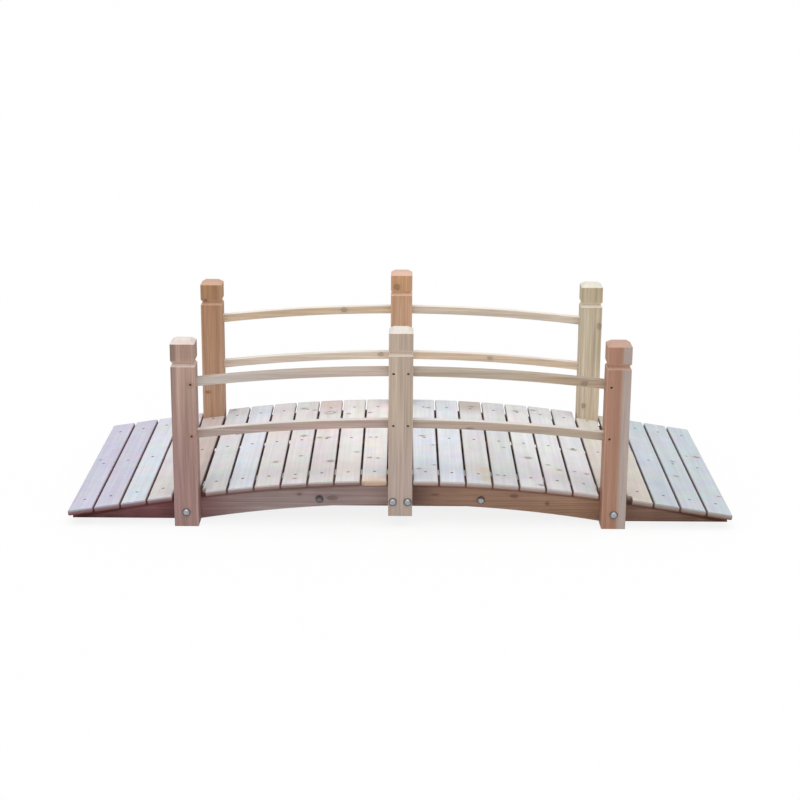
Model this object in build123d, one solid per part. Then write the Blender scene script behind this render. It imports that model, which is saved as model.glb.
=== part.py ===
from build123d import *
import math
import os

# Garden moon bridge. Origin on the ground at the middle, +X along the bridge,
# +Y across it to the back railing, +Z up. Millimetres.

os.makedirs("parts", exist_ok=True)

# Deck
DECK_LENGTH = 1524.0
DECK_WIDTH = 674.0
DECK_CROWN = 113.5
DECK_RADIUS = 3350.0
BOARD_COUNT = 25
BOARD_GAP = 4.5
BOARD_THICKNESS = 12.0
BOARD_EASE = 3.0
LEFT_BAY_SHIFT = 1.5
RIGHT_BAY_SHIFT = -3.0
CLIP_ALONG = 10.0
CLIP_ACROSS = 25.0
SIDE_CLEARANCE = 1.0
POST_BOARD = 8

# Screw seats in the boards
SEAT_DIAMETER = 8.0
SEAT_DEPTH = 1.2

# Posts
POST_WIDTH = 55.0
POST_DEPTH = 54.0
POST_LENGTH = 437.0
CENTRE_POST_LIFT = 28.0
CAP_INSET = 10.5
CAP_HEIGHT = 7.5
GROOVE_BELOW_TOP = 53.0
GROOVE_HEIGHT = 14.0
GROOVE_DEPTH = 5.5
POST_EASE = 1.5

# Rails
RAIL_HEIGHT = 20.0
RAIL_THICKNESS = 18.0
RAIL_RADIUS = 4000.0
LOWER_RAIL_CROWN = 243.0
UPPER_RAIL_CROWN = 364.5
RAIL_EASE = 2.0
MORTISE_DEPTH = 14.0

# Stringers and the splice boards behind their joints
STRINGER_THICKNESS = 28.0
STRINGER_END_INSET = 2.0
STRINGER_JOINT = 1.0
UNDERCUT_CROWN = 38.0
UNDERCUT_START = 4.0
SPLICE_LENGTH = 470.0
SPLICE_BOTTOM = 24.0
SPLICE_HEIGHT = 66.0

# Bolts and rail screws
BOLT_HOLE = 8.0
BOLT_HEIGHT = 34.0
CENTRE_BOLT_X = 17.0
SPLICE_BOLT_FROM_END = 48.0
SPLICE_BOLT_UP = 25.0
PILOT_DIAMETER = 6.0
PILOT_DEPTH = 10.0
PILOT_FROM_SIDE = 11.0

# Derived places
HALF_WIDTH = DECK_WIDTH / 2
POST_Y = HALF_WIDTH - POST_DEPTH / 2
STRINGER_Y = HALF_WIDTH - POST_DEPTH - STRINGER_THICKNESS / 2
BOARD_PITCH = (DECK_LENGTH + BOARD_GAP) / BOARD_COUNT
CORNER_POST_X = POST_BOARD * BOARD_PITCH
ARC_HALF = CORNER_POST_X + POST_WIDTH / 2
ARC_ANGLE = math.asin(ARC_HALF / DECK_RADIUS)
BOARD_WIDTH = BOARD_PITCH - BOARD_GAP
STRINGER_END_X = DECK_LENGTH / 2 - STRINGER_END_INSET
UNDERCUT_FOOT_X = CORNER_POST_X - POST_WIDTH / 2 + UNDERCUT_START
UNDERCUT_RADIUS = (UNDERCUT_FOOT_X**2 + UNDERCUT_CROWN**2) / (2 * UNDERCUT_CROWN)
SPLICE_BOLT_X = SPLICE_LENGTH / 2 - SPLICE_BOLT_FROM_END
SPLICE_BOLT_Z = SPLICE_BOTTOM + SPLICE_BOLT_UP
RAIL_CROWNS = {"lower": LOWER_RAIL_CROWN, "upper": UPPER_RAIL_CROWN}
MIDDLE_BOARD = (BOARD_COUNT + 1) // 2
SHORT_BOARDS = (MIDDLE_BOARD - POST_BOARD, MIDDLE_BOARD, MIDDLE_BOARD + POST_BOARD)
CLIPPED_BOARDS = (SHORT_BOARDS[0] + 1, SHORT_BOARDS[2] + 1)
SIDES = {"front": -1, "back": 1}
PLACES = {"left": -1, "middle": 0, "right": 1}
HANDS = {"left": -1, "right": 1}


def deck_point(x):
    """Height and slope, in degrees, of the deck's top: an arc, then straight ramps."""
    angle = math.asin(min(abs(x), ARC_HALF) / DECK_RADIUS)
    ramp = max(abs(x) - ARC_HALF, 0) * math.tan(ARC_ANGLE)
    drop = DECK_RADIUS * (1 - math.cos(angle)) + ramp
    return DECK_CROWN - drop, math.copysign(math.degrees(angle), x)


def board_place(number):
    """Boards sit at one pitch, but those of each middle bay are pushed up to the middle."""
    left_bay = SHORT_BOARDS[0] < number < SHORT_BOARDS[1]
    right_bay = SHORT_BOARDS[1] < number <= SHORT_BOARDS[2]
    shift = LEFT_BAY_SHIFT * left_bay + RIGHT_BAY_SHIFT * right_bay
    return (number - MIDDLE_BOARD) * BOARD_PITCH + shift


def board_length(number):
    """Full boards reach the posts' outer faces, short ones fit between the posts."""
    if number in SHORT_BOARDS:
        return 2 * (HALF_WIDTH - POST_DEPTH - SIDE_CLEARANCE)
    return DECK_WIDTH


def deck_board(number):
    """One board with eased long edges and three countersunk screw seats."""
    length = board_length(number)
    board = Box(BOARD_WIDTH, length, BOARD_THICKNESS, align=(Align.CENTER, Align.CENTER, Align.MAX))
    board = fillet(board.edges().filter_by(Axis.Y), BOARD_EASE)
    if number in CLIPPED_BOARDS:
        board -= clipped_corner(length)
    foot = SEAT_DIAMETER / 2 - SEAT_DEPTH
    seat = Cone(foot, SEAT_DIAMETER / 2, SEAT_DEPTH, align=(Align.CENTER, Align.CENTER, Align.MAX))
    board -= [Pos(0, row * STRINGER_Y, 0) * seat for row in (-1, 0, 1)]
    x = board_place(number)
    height, slope = deck_point(x)
    return Pos(x, 0, height) * Rot(0, slope, 0) * board


def clipped_corner(length):
    """The small corner sawn off a board where it passes a front post."""
    corner = Box(2 * CLIP_ALONG, 2 * CLIP_ACROSS, 3 * BOARD_THICKNESS)
    return Pos(-BOARD_WIDTH / 2, -length / 2, 0) * corner


def rail(side, hand, level):
    """A rail bowed like the deck, its ends let into the corner and centre posts."""
    centre = Pos(0, SIDES[side] * POST_Y, RAIL_CROWNS[level] - RAIL_RADIUS)
    start = rail_angle(POST_WIDTH / 2 - MORTISE_DEPTH)
    end = rail_angle(CORNER_POST_X - POST_WIDTH / 2 + MORTISE_DEPTH)
    section = Pos(0, 0, RAIL_RADIUS) * (Plane.YZ * RectangleRounded(RAIL_THICKNESS, RAIL_HEIGHT, RAIL_EASE))
    first = start if hand == "right" else -end
    bar = revolve(Rot(0, first, 0) * section, Axis((0, 0, 0), (0, 1, 0)), end - start)
    return centre * bar


def rail_angle(x):
    """Angle round the rail's centre, in degrees, that reaches out to x."""
    return math.degrees(math.asin(x / RAIL_RADIUS))


def post_section(inset, height):
    """The post's outline with eased corners, drawn in by the inset at a height."""
    outline = RectangleRounded(POST_WIDTH - 2 * inset, POST_DEPTH - 2 * inset, POST_EASE)
    return Pos(0, 0, height) * outline


def post_blank():
    """A square post with eased corners, a V groove all round and a chamfered cap."""
    groove = POST_LENGTH - GROOVE_BELOW_TOP
    levels = [
        (0, 0),
        (0, groove - GROOVE_HEIGHT / 2),
        (GROOVE_DEPTH, groove),
        (0, groove + GROOVE_HEIGHT / 2),
        (0, POST_LENGTH - CAP_HEIGHT),
        (CAP_INSET, POST_LENGTH),
    ]
    sections = [post_section(inset, height) for inset, height in levels]
    lengths = [loft([low, high], ruled=True) for low, high in zip(sections, sections[1:])]
    return Part() + lengths


def post(side, place):
    """A post in its place, mortised for its rails and bored for its bolts and screws."""
    hand = PLACES[place]
    lift = 0 if hand else CENTRE_POST_LIFT
    centre_x = hand * CORNER_POST_X
    result = Pos(centre_x, SIDES[side] * POST_Y, lift) * post_blank()
    ends = [name for name, sign in HANDS.items() if hand in (0, sign)]
    for end in ends:
        for level in RAIL_CROWNS:
            result -= rail(side, end, level)
    for bolt_x in post_bolts(hand):
        result -= Pos(bolt_x, 0, lift + BOLT_HEIGHT) * bolt_hole(SIDES[side])
    for x, z in rail_screws(hand):
        pilot = Cylinder(PILOT_DIAMETER / 2, 2 * PILOT_DEPTH, rotation=(90, 0, 0))
        result -= Pos(x, SIDES[side] * HALF_WIDTH, z) * pilot
    return result


def post_bolts(hand):
    """A corner post has one bolt on its centre line, a centre post a pair."""
    if hand:
        return [hand * CORNER_POST_X]
    return [-CENTRE_BOLT_X, CENTRE_BOLT_X]


def rail_screws(hand):
    """One screw for each rail end, driven through the post's outer face."""
    inset = POST_WIDTH / 2 - PILOT_FROM_SIDE
    offsets = [-hand * inset] if hand else [-inset, inset]
    places = [hand * CORNER_POST_X + offset for offset in offsets]
    return [(x, rail_height(level, x)) for x in places for level in RAIL_CROWNS]


def rail_height(level, x):
    """Height of a rail's middle at x."""
    return RAIL_CROWNS[level] - RAIL_RADIUS + math.sqrt(RAIL_RADIUS**2 - x**2)


def bolt_hole(sign):
    """A hole through a post, deep enough for the stringer and splice behind it."""
    reach = POST_DEPTH + 2 * STRINGER_THICKNESS
    hole = Cylinder(BOLT_HOLE / 2, 2 * reach, rotation=(90, 0, 0))
    return Pos(0, sign * (HALF_WIDTH - reach / 2), 0) * hole


def deck_underside(margin):
    """The outline of everything under the boards out to the given end."""
    inner = DECK_RADIUS - BOARD_THICKNESS
    knee = inner * math.sin(ARC_ANGLE)
    knee_z = DECK_CROWN - DECK_RADIUS + inner * math.cos(ARC_ANGLE)
    end_z = knee_z - (margin - knee) * math.tan(ARC_ANGLE)
    crown = (0, DECK_CROWN - BOARD_THICKNESS)
    edge = Line((0, 0), crown)
    edge += CenterArc((0, DECK_CROWN - DECK_RADIUS), inner, 90, -math.degrees(ARC_ANGLE))
    edge += Polyline((knee, knee_z), (margin, end_z), (margin, 0), (0, 0))
    return make_face(edge)


def stringer(line, hand):
    """Half of a stringer: its top follows the boards and its foot is cut to an arch."""
    half = deck_underside(STRINGER_END_X)
    half -= Pos(0, UNDERCUT_CROWN - UNDERCUT_RADIUS) * Circle(UNDERCUT_RADIUS)
    half -= Rectangle(STRINGER_JOINT, 4 * DECK_CROWN)
    y = line * STRINGER_Y
    beam = extrude(Plane.XZ * half, STRINGER_THICKNESS / 2, both=True)
    beam = Pos(0, y, 0) * beam
    holes = [(CENTRE_BOLT_X, CENTRE_POST_LIFT + BOLT_HEIGHT), (SPLICE_BOLT_X, SPLICE_BOLT_Z)]
    if line:
        holes.append((CORNER_POST_X, BOLT_HEIGHT))
    for x, z in holes:
        beam -= Pos(x, y, z) * Cylinder(BOLT_HOLE / 2, 2 * STRINGER_THICKNESS, rotation=(90, 0, 0))
    return beam if hand == "right" else mirror(beam, Plane.YZ)


def splice(line):
    """The board bolted behind a stringer's joint, on the side away from its posts."""
    inward = -1 if line > 0 else 1
    y = line * STRINGER_Y + inward * STRINGER_THICKNESS
    plate = Pos(0, y, SPLICE_BOTTOM) * Box(
        SPLICE_LENGTH, STRINGER_THICKNESS, SPLICE_HEIGHT, align=(Align.CENTER, Align.CENTER, Align.MIN)
    )
    places = [(CENTRE_BOLT_X, CENTRE_POST_LIFT + BOLT_HEIGHT), (SPLICE_BOLT_X, SPLICE_BOLT_Z)]
    for x, z in places:
        for sign in HANDS.values():
            plate -= Pos(sign * x, y, z) * Cylinder(BOLT_HOLE / 2, 2 * STRINGER_THICKNESS, rotation=(90, 0, 0))
    return plate


def save(shape, name):
    """Write one piece as its own node."""
    export_step(shape, f"parts/{name}.step")


for side in SIDES:
    for place in PLACES:
        save(post(side, place), f"{side}_{place}_post")
    for hand in HANDS:
        for level in RAIL_CROWNS:
            save(rail(side, hand, level), f"{side}_{hand}_{level}_rail")

for line_name, line in {"front": -1, "middle": 0, "back": 1}.items():
    for hand in HANDS:
        save(stringer(line, hand), f"{line_name}_{hand}_stringer")
    save(splice(line), f"{line_name}_splice")

for number in range(1, BOARD_COUNT + 1):
    save(deck_board(number), f"deck_board_{number:02d}")
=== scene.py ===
import math
import random

import bpy
from mathutils import Matrix, Vector


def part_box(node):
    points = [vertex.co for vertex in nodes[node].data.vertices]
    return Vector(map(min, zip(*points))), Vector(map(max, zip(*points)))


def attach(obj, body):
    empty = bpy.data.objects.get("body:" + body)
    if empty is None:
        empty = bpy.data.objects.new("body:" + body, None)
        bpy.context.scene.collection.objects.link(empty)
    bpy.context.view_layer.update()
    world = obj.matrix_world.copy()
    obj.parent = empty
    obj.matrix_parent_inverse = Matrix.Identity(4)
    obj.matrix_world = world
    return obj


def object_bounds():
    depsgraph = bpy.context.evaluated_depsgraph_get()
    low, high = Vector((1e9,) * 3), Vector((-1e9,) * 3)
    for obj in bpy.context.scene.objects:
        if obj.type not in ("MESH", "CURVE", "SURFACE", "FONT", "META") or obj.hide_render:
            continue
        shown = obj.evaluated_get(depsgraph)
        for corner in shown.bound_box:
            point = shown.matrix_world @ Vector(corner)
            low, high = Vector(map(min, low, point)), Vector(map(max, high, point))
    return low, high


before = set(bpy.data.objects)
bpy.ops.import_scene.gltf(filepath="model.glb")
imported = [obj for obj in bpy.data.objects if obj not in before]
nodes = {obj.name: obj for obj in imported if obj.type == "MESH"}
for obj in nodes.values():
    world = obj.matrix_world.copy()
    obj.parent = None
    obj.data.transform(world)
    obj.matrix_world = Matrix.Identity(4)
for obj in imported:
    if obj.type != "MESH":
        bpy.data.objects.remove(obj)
cad_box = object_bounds()
bpy.ops.object.select_all(action="DESELECT")


# Camera
# A long lens stands in front of the bridge at chest height and looks down on it
# by 16 degrees, a little out of level, as the picture was taken.
CAMERA_PLACE = (0.0017, -4.1874, 1.4063)
CAMERA_DOWN = 0.2787
CAMERA_YAW = 0.0009
CAMERA_ROLL = 0.0066
FOCAL_PIXELS = 1781.6
PICTURE_PIXELS = 800
SENSOR = 36.0
CLIP_END = 100

bpy.ops.object.camera_add(location=CAMERA_PLACE)
camera = bpy.context.object
aim = Matrix.Rotation(CAMERA_YAW, 4, "Z") @ Matrix.Rotation(math.pi / 2 - CAMERA_DOWN, 4, "X")
camera.matrix_world = Matrix.Translation(CAMERA_PLACE) @ aim @ Matrix.Rotation(CAMERA_ROLL, 4, "Z")
camera.data.sensor_width = SENSOR
camera.data.lens = FOCAL_PIXELS / PICTURE_PIXELS * SENSOR
camera.data.clip_end = CLIP_END
bpy.context.scene.camera = camera
bpy.context.scene.view_settings.view_transform = "Standard"


# Floor and light
# A wide matt white floor under soft light from above. What the camera sees of the
# floor and the sky is lifted to white, least in a strip under the deck, as painted shade.
FLOOR_SIZE = 60.0
FLOOR_DROP = 0.0005
FLOOR_WHITE = (0.86, 0.86, 0.86, 1)
FLOOR_LIFT = 0.85
DIM_HALF_WIDTH = 0.10
DIM_EDGE = 0.08
DIM_SHARE = 0.35
SKY_LIGHT = 0.42
TOP_LIGHT = 2.35
TOP_LIGHT_SPREAD = math.radians(70)
TOP_LIGHT_LEAN = math.radians(14)
TOP_LIGHT_PLACE = (0, -1, 4)


def add_node(tree, kind, feeds=None, **settings):
    """A shader node with its settings, its values and the sockets that feed it."""
    made = tree.nodes.new(kind)
    for key, value in settings.items():
        setattr(made, key, value)
    for socket, value in (feeds or {}).items():
        if isinstance(value, bpy.types.NodeSocket):
            tree.links.new(value, made.inputs[socket])
        else:
            made.inputs[socket].default_value = value
    return made


def seen_directly(tree):
    """One where a camera, mirror or glass ray looks, else nought."""
    path = add_node(tree, "ShaderNodeLightPath").outputs
    seen = path["Is Camera Ray"]
    for ray in ("Is Glossy Ray", "Is Transmission Ray"):
        seen = add_node(tree, "ShaderNodeMath", {0: seen, 1: path[ray]}, operation="MAXIMUM").outputs[0]
    return seen


bpy.ops.mesh.primitive_plane_add(size=FLOOR_SIZE, location=(0, 0, -FLOOR_DROP))
floor = bpy.context.object
floor.name = "studio_floor"
bpy.ops.object.transform_apply(location=True)
floor_paint = bpy.data.materials.new("studio_floor")
floor_paint.use_nodes = True
tree = floor_paint.node_tree
tree.nodes.clear()
matt = add_node(tree, "ShaderNodeBsdfDiffuse", {"Color": FLOOR_WHITE})
white = add_node(tree, "ShaderNodeEmission", {"Color": (1, 1, 1, 1), "Strength": 1.0})
where = add_node(tree, "ShaderNodeTexCoord").outputs["Object"]
sides = add_node(tree, "ShaderNodeSeparateXYZ", {0: where}).outputs
# Painted shade: the white lift is cut back in a strip under the deck, so the floor there reads darker.
off_middle = add_node(tree, "ShaderNodeMath", {0: sides["Y"]}, operation="ABSOLUTE").outputs[0]
lift = add_node(tree, "ShaderNodeMapRange", {
    "Value": off_middle,
    "From Min": DIM_HALF_WIDTH,
    "From Max": DIM_HALF_WIDTH + DIM_EDGE,
    "To Min": FLOOR_LIFT * DIM_SHARE,
    "To Max": FLOOR_LIFT,
}).outputs[0]
off_end = add_node(tree, "ShaderNodeMath", {0: sides["X"]}, operation="ABSOLUTE").outputs[0]
strip_end = cad_box[1][0] - DIM_EDGE
beyond = add_node(tree, "ShaderNodeMath", {0: off_end, 1: strip_end}, operation="GREATER_THAN").outputs[0]
choice = {"Factor": beyond, "A": lift, "B": FLOOR_LIFT}
lift = add_node(tree, "ShaderNodeMix", choice, data_type="FLOAT").outputs[0]
share = add_node(tree, "ShaderNodeMath", {0: seen_directly(tree), 1: lift}, operation="MULTIPLY").outputs[0]
both = add_node(tree, "ShaderNodeMixShader", {0: share, 1: matt.outputs[0], 2: white.outputs[0]})
add_node(tree, "ShaderNodeOutputMaterial", {"Surface": both.outputs[0]})
floor.data.materials.append(floor_paint)

world = bpy.data.worlds.new("studio")
bpy.context.scene.world = world
world.use_nodes = True
tree = world.node_tree
tree.nodes.clear()
choice = {"Factor": seen_directly(tree), "A": SKY_LIGHT, "B": 1.0}
strength = add_node(tree, "ShaderNodeMix", choice, data_type="FLOAT").outputs[0]
sky = add_node(tree, "ShaderNodeBackground", {"Color": (1, 1, 1, 1), "Strength": strength})
add_node(tree, "ShaderNodeOutputWorld", {"Surface": sky.outputs[0]})

bpy.ops.object.light_add(type="SUN", location=TOP_LIGHT_PLACE, rotation=(TOP_LIGHT_LEAN, 0, 0))
top_light = bpy.context.object
top_light.data.energy = TOP_LIGHT
top_light.data.angle = TOP_LIGHT_SPREAD


# Stringers
# Six planed fir planks on edge, two to a line, sawn to the deck's curve on top and
# to a low arch below. Dry and unpainted: mauve-brown in front, redder to the right.
GRAIN_TURNS = {"X": (0, -math.pi / 2, 0), "Y": (math.pi / 2, 0, 0), "Z": (0, 0, 0)}
GRAIN_LINES = {"X": (1, 0, 0), "Y": (0, 1, 0), "Z": (0, 0, 1)}
STRINGER_WOODS = {
    "front_left": ((0.575, 0.455, 0.435), (0.27, 0.185, 0.175)),
    "front_right": ((0.575, 0.355, 0.25), (0.26, 0.14, 0.09)),
    "middle_left": ((0.47, 0.33, 0.25), (0.30, 0.19, 0.13)),
    "middle_right": ((0.45, 0.32, 0.25), (0.29, 0.18, 0.13)),
    "back_left": ((0.46, 0.31, 0.22), (0.29, 0.17, 0.11)),
    "back_right": ((0.48, 0.36, 0.27), (0.30, 0.20, 0.14)),
}
# Tone changes along the front stringers. Where they darken beside a post they are painted shadow of that
# post, mixed at the left foot with a redder tone of the wood; the lighter stretches are the wood's own
# tone.
STRINGER_SHADES = {
    "front_left": [
        ("X", -0.33, -0.52, (0.70, 0.38, 0.42, 1)),
        ("X", -0.14, -0.04, (1.08, 1.04, 1.02, 1)),
    ],
    "front_right": [
        ("X", 0.44, 0.53, (0.70, 0.70, 0.78, 1)),
        ("X", 0.17, 0.05, (0.70, 0.70, 0.76, 1)),
        ("X", 0.30, 0.40, (1.12, 1.12, 1.07, 1)),
        ("X", 0.08, 0.03, (0.72, 0.72, 0.76, 1)),
    ],
}
STRINGER_KNOTS = {
    "front_left": [
        ((-0.233, -0.283, 0.061), 0.005, (1, 1, 1.5)),
        ((-0.157, -0.283, 0.052), 0.008, (0.7, 1, 1.6)),
    ],
    "front_right": [
        ((0.264, -0.283, 0.060), 0.007, (0.8, 1, 1.6)),
        ((0.341, -0.283, 0.042), 0.004, (1, 1, 1)),
        ((0.081, -0.283, 0.062), 0.005, (0.6, 1, 2.2)),
    ],
}
STRINGER_RING_WIDTH = 0.006
STRINGER_PITH_ABOVE = 0.09
STRINGER_PITH_BEHIND = 0.035
LOG_REACH = 3
GRAIN_SEED = 14
DECK_UNDERSIDE = 0.1015
DECK_RADIUS = 3.35
# Painted shadow: the top of each stringer's face is darkened just under the deck boards, following the
# deck's curve.
SHADOW_FADES = 0.0230
SHADOW_DEEPEST = 0.0175
SHADOW_TONE = (0.42, 0.30, 0.27, 1)
SHADOW_UNDER_BOARDS = (DECK_UNDERSIDE, 0.0, 0.5 / DECK_RADIUS, SHADOW_FADES, SHADOW_DEEPEST, SHADOW_TONE)

NUMBER = "NodeSocketFloat"
VECTOR = "NodeSocketVector"


def new_group(name, takes, gives):
    """An empty shader group with named sockets, and its two ends."""
    group = bpy.data.node_groups.new(name, "ShaderNodeTree")
    for label, (kind, value) in takes.items():
        socket = group.interface.new_socket(label, in_out="INPUT", socket_type=kind)
        socket.default_value = value
    for label in gives:
        group.interface.new_socket(label, in_out="OUTPUT", socket_type=NUMBER)
    start = group.nodes.new("NodeGroupInput")
    end = group.nodes.new("NodeGroupOutput")
    return group, start.outputs, end


def sum_of(tree, operation, a, b=0.0, c=0.0):
    """One sum on two or three numbers."""
    return add_node(tree, "ShaderNodeMath", {0: a, 1: b, 2: c}, operation=operation).outputs[0]


def vector_of(tree, operation, a, b=(0, 0, 0), out=0):
    """One sum on two vectors."""
    return add_node(tree, "ShaderNodeVectorMath", {0: a, 1: b}, operation=operation).outputs[out]


def ramp_of(tree, value, low, high, start=0.0, end=1.0):
    """A number carried from one range to another and held at the ends."""
    feeds = {"Value": value, "From Min": low, "From Max": high, "To Min": start, "To Max": end}
    return add_node(tree, "ShaderNodeMapRange", feeds).outputs[0]


def blend_of(tree, share, a, b, way="MIX"):
    """Colour a turned towards colour b by a share."""
    feeds = {0: share, 6: a, 7: b}
    return add_node(tree, "ShaderNodeMix", feeds, data_type="RGBA", blend_type=way).outputs[2]


def noise_of(tree, place, scale, detail, roughness=0.5, out="Fac"):
    """Soft noise over the piece, as a number or as a colour."""
    feeds = {"Vector": place, "Scale": scale, "Detail": detail, "Roughness": roughness}
    return add_node(tree, "ShaderNodeTexNoise", feeds).outputs[out]


RING_WANDER_SCALE = (5.0, 5.0, 1.1)
YEAR_SCALE = 0.45
YEAR_SHIFT = 3.0
GRAIN_SCALES = {
    "Fibres": ((420, 420, 9), 3.0),
    "Patches": ((32, 32, 2.2), 2.0),
    "Streaks": ((150, 150, 3.2), 2.0),
}
GRAIN_ROUGHNESS = 0.58


def fir_grain_group():
    """Growth rings round a pith along local Z, fine fibres, streaks and broad patches."""
    takes = {
        "Vector": (VECTOR, (0, 0, 0)),
        "Ring width": (NUMBER, 0.005),
        "Wander": (NUMBER, 0.012),
    }
    group, given, end = new_group("fir_grain", takes, ("Rings", *GRAIN_SCALES))
    drawn = vector_of(group, "MULTIPLY", given["Vector"], RING_WANDER_SCALE)
    drift = noise_of(group, drawn, 1.0, 2.5, out="Color")
    centred = vector_of(group, "SUBTRACT", drift, (0.5, 0.5, 0.5))
    wander = {0: centred, "Scale": given["Wander"]}
    moved = add_node(group, "ShaderNodeVectorMath", wander, operation="SCALE").outputs[0]
    place = vector_of(group, "ADD", given["Vector"], moved)
    flat = vector_of(group, "MULTIPLY", place, (1, 1, 0))
    from_pith = vector_of(group, "LENGTH", flat, out="Value")
    count = sum_of(group, "DIVIDE", from_pith, given["Ring width"])
    years = {"W": count, "Scale": YEAR_SCALE, "Detail": 0.0}
    year = add_node(group, "ShaderNodeTexNoise", years, noise_dimensions="1D").outputs["Fac"]
    phase = sum_of(group, "FRACT", sum_of(group, "MULTIPLY_ADD", year, YEAR_SHIFT, count))
    latewood = sum_of(group, "POWER", phase, 3.0)
    line = sum_of(group, "MULTIPLY", latewood, ramp_of(group, phase, 0.9, 1.0, 1.0, 0.0))
    weight = ramp_of(group, year, 0.3, 0.7, 0.45, 1.3)
    group.links.new(sum_of(group, "MULTIPLY", line, weight), end.inputs["Rings"])
    for label, (scale, detail) in GRAIN_SCALES.items():
        drawn = vector_of(group, "MULTIPLY", place, scale)
        group.links.new(noise_of(group, drawn, 1.0, detail, GRAIN_ROUGHNESS), end.inputs[label])
    return group


KNOT_EDGE_SCALE = 130.0
KNOT_RING_AT = 0.95


def knot_group():
    """A knot at a place on the piece: its heart, its dark broken ring and the stained wood round it."""
    takes = {
        "Vector": (VECTOR, (0, 0, 0)),
        "Place": (VECTOR, (0, 0, 0)),
        "Stretch": (VECTOR, (1, 1, 1)),
        "Radius": (NUMBER, 0.006),
    }
    group, given, end = new_group("knot", takes, ("Heart", "Ring", "Halo"))
    offset = vector_of(group, "SUBTRACT", given["Vector"], given["Place"])
    away = vector_of(group, "MULTIPLY", offset, given["Stretch"])
    ratio = sum_of(group, "DIVIDE", vector_of(group, "LENGTH", away, out="Value"), given["Radius"])
    rough = noise_of(group, given["Vector"], KNOT_EDGE_SCALE, 2.5)
    ratio = sum_of(group, "ADD", ratio, ramp_of(group, rough, 0.25, 0.75, -0.45, 0.45))
    group.links.new(ramp_of(group, ratio, 0.55, KNOT_RING_AT, 1.0, 0.0), end.inputs["Heart"])
    off_ring = sum_of(group, "ABSOLUTE", sum_of(group, "SUBTRACT", ratio, KNOT_RING_AT))
    ring = ramp_of(group, off_ring, 0.05, 0.32, 1.0, 0.0)
    broken = ramp_of(group, rough, 0.38, 0.55, 0.25, 1.0)
    group.links.new(sum_of(group, "MULTIPLY", ring, broken), end.inputs["Ring"])
    group.links.new(ramp_of(group, ratio, 1.0, 2.8, 1.0, 0.0), end.inputs["Halo"])
    return group


def face_group():
    """Which faces are sawn ends across the grain, look up, look along X, or are eased edges."""
    takes = {"Normal": (VECTOR, (0, 0, 1)), "Grain": (VECTOR, (0, 0, 1))}
    group, given, end = new_group("sawn_faces", takes, ("End", "Up", "Flank", "Edge"))
    facing = vector_of(group, "DOT_PRODUCT", given["Normal"], given["Grain"], out="Value")
    along = sum_of(group, "ABSOLUTE", facing)
    group.links.new(ramp_of(group, along, 0.45, 0.75), end.inputs["End"])
    height = add_node(group, "ShaderNodeSeparateXYZ", {0: given["Normal"]}).outputs["Z"]
    group.links.new(ramp_of(group, height, 0.35, 0.95), end.inputs["Up"])
    unsigned = vector_of(group, "ABSOLUTE", given["Normal"])
    sides = add_node(group, "ShaderNodeSeparateXYZ", {0: unsigned}).outputs
    group.links.new(ramp_of(group, sides["X"], 0.5, 0.8), end.inputs["Flank"])
    square = sum_of(group, "MAXIMUM", sum_of(group, "MAXIMUM", sides["X"], sides["Y"]), sides["Z"])
    group.links.new(ramp_of(group, square, 0.82, 0.96, 1.0, 0.0), end.inputs["Edge"])
    return group


FIR_GRAIN = fir_grain_group()
KNOT = knot_group()
SAWN_FACES = face_group()
PALE_PART = 0.6
PALE_BAND_BLUR = 0.0045
# How far down the deck boards' sides the top colour reaches: part bleach, part painted top light.
BLEACH_AND_TOP_LIGHT_DEPTH = (0.002, 0.0052)
BLEACH_AND_TOP_LIGHT_SIDES = 0.68
MOTTLE = (0.36, 0.30, 0.34)
MOTTLE_SCALE = 22.0
STAIN_SHARE = 0.6
KNOT_PARTS = (("Halo", 0.2, 1.0), ("Heart", 0.65, 0.7), ("Ring", 0.72, 0.45))
OPEN_RING = 0.012
FIR_SHEEN = 0.3
FIR_BUMP = 0.55
FIR_RELIEF = 0.0006


def shaded(colour, by):
    """A colour made darker or lighter, for a colour socket."""
    return tuple(by * part for part in colour[:3]) + (1,)


def knot_at(tree, where, spot, radius, stretch=(1, 1, 1)):
    """The masks of a knot or a stain at its place on the piece."""
    feeds = {"Vector": where, "Place": spot, "Stretch": stretch, "Radius": radius}
    return add_node(tree, "ShaderNodeGroup", feeds, node_tree=KNOT).outputs


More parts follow.
